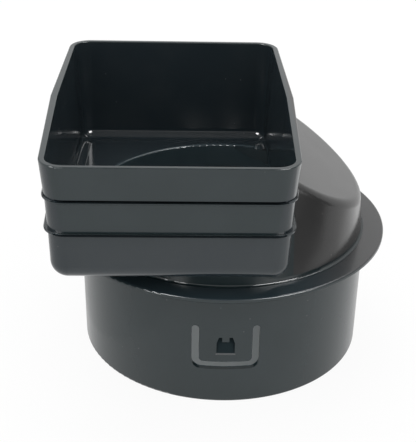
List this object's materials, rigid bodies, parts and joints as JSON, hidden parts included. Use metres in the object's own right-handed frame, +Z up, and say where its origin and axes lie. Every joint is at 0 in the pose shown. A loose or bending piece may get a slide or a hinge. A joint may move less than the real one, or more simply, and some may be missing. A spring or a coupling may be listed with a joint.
{
  "type": "downspout adapter",
  "caption": "Moulded offset adapter from a rectangular downspout to round drain pipe: banded open socket, sloping hood, flange and collar with snap latches.",
  "frame": {"origin": "centre of the round collar's open mouth, on the level surface that the adapter stands on", "axes": "+Z up along the collar's axis, towards the rectangular socket; the socket is offset to -X and the hood is on the +X side; Y = 0 is the plane of symmetry and the mould's parting plane"},
  "size_m": [0.1429, 0.143, 0.111],
  "materials": {
    "black_plastic": "glossy moulded plastic with faint rubbed patches outside, a little glossier inside"
  },
  "bodies": {
    "root": {"adapter_body": "black_plastic"}
  },
  "joints": []
}
